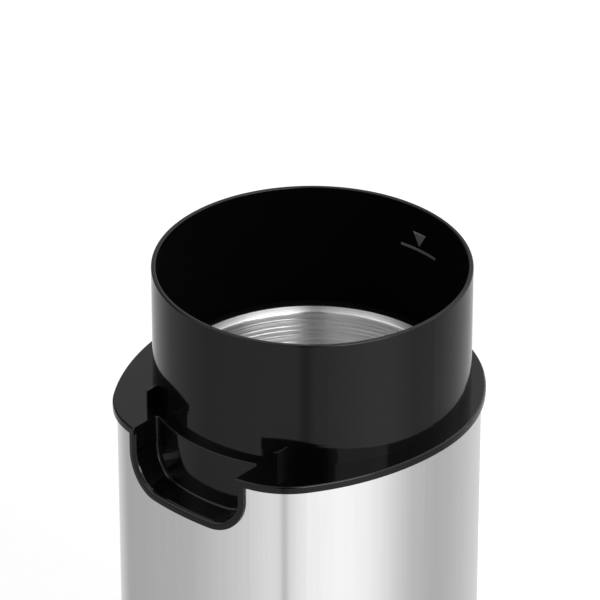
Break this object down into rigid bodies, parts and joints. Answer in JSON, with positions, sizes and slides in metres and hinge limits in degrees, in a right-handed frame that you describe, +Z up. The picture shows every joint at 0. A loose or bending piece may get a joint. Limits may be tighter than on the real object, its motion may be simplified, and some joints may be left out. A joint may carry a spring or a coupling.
{
  "type": "electric coffee grinder base",
  "caption": "Countertop electric coffee grinder base with its lid off: tall round black collar over a steel bowl, D-shaped steel body, U-shaped finger pocket, motor and lid switch inside.",
  "frame": {"origin": "centre of the plan's bounding box at the table, under the feet", "axes": "+Z up along the drive axis, finger pocket facing -Y, lid switch slot on the -X side"},
  "size_m": [0.093, 0.0966, 0.1652],
  "materials": {
    "housing_black": "glossy moulded black plastic",
    "sleeve_steel": "satin stainless sheet, fine vertical grain",
    "bowl_steel": "stainless sheet with fine turning rings",
    "blade_steel": "polished stainless strip",
    "base_black": "satin moulded black plastic",
    "carrier_grey": "unpainted moulded plastic",
    "rubber_black": "soft black rubber",
    "seal_rubber": "grey seal rubber",
    "screw_steel": "zinc-plated steel",
    "spring_steel": "spring wire",
    "shaft_steel": "ground steel",
    "bearing_bronze": "sintered bronze",
    "terminal_brass": "bare brass",
    "bracket_cast": "die-cast aluminium",
    "lamination_steel": "stacked steel laminations",
    "winding_copper": "enamelled copper wire",
    "commutator_copper": "bare copper segments",
    "carbon": "pressed carbon",
    "switch_plastic": "dark phenolic plastic",
    "insulation_plastic": "cream insulating plastic",
    "capacitor_case": "cast resin case"
  },
  "bodies": {
    "housing": {"top_housing": "housing_black", "body_sleeve": "sleeve_steel", "base_pan": "base_black", "rubber_feet": "rubber_black", "base_screws": "screw_steel", "cord_gland": "base_black", "grinding_bowl": "bowl_steel", "bowl_gasket": "seal_rubber", "bowl_gland": "base_black", "gland_nut": "insulation_plastic", "shaft_seal": "seal_rubber", "motor_carrier": "carrier_grey", "housing_screws": "screw_steel", "motor_mounts": "rubber_black", "mount_screws": "screw_steel", "upper_bracket": "bracket_cast", "upper_bushing": "bearing_bronze", "lower_bracket": "bracket_cast", "lower_bushing": "bearing_bronze", "stator_core": "lamination_steel", "field_coils": "winding_copper", "thermal_cutout": "switch_plastic", "motor_bolts": "screw_steel", "bolt_nuts": "screw_steel", "brush_holders": "insulation_plastic", "carbon_brushes": "carbon", "brush_springs": "spring_steel", "switch_bracket": "carrier_grey", "switch_body": "switch_plastic", "switch_terminals": "terminal_brass", "interlock_spring": "spring_steel", "suppressor_capacitor": "capacitor_case"},
    "rotor": {"motor_shaft": "shaft_steel", "armature_core": "lamination_steel", "armature_windings": "winding_copper", "commutator": "commutator_copper", "cooling_fan": "insulation_plastic", "thrust_washers": "bearing_bronze", "blade_hub": "base_black", "blade": "blade_steel", "blade_nut": "blade_steel"},
    "pusher": {"interlock_pusher": "base_black"},
    "lever": {"switch_lever": "spring_steel"},
    "plunger": {"switch_plunger": "insulation_plastic"}
  },
  "joints": [
    {"name": "rotor_spin", "type": "hinge", "parent": "housing", "child": "rotor", "pos_m": [0, 0.00305, 0.05], "axis": [0, 0, 1], "continuous": true},
    {"name": "interlock_press", "type": "slide", "parent": "housing", "child": "pusher", "axis": [0, 0, -1], "range_m": [0, 0.003], "stiffness_N_per_m": 400, "springref_m": -0.003, "deforming": ["interlock_spring"]},
    {"name": "lever_tip", "type": "hinge", "parent": "housing", "child": "lever", "pos_m": [-0.0398, -0.00965, 0.0808], "axis": [-1, 0, 0], "range_deg": [0, 10.3]},
    {"name": "plunger_press", "type": "slide", "parent": "housing", "child": "plunger", "axis": [0, 0, -1], "range_m": [0, 0.0009]}
  ],
  "couplings": [
    {"joint": "lever_tip", "follows": "interlock_press", "rad_per_m": 59.5},
    {"joint": "plunger_press", "follows": "interlock_press", "ratio": 0.3}
  ]
}
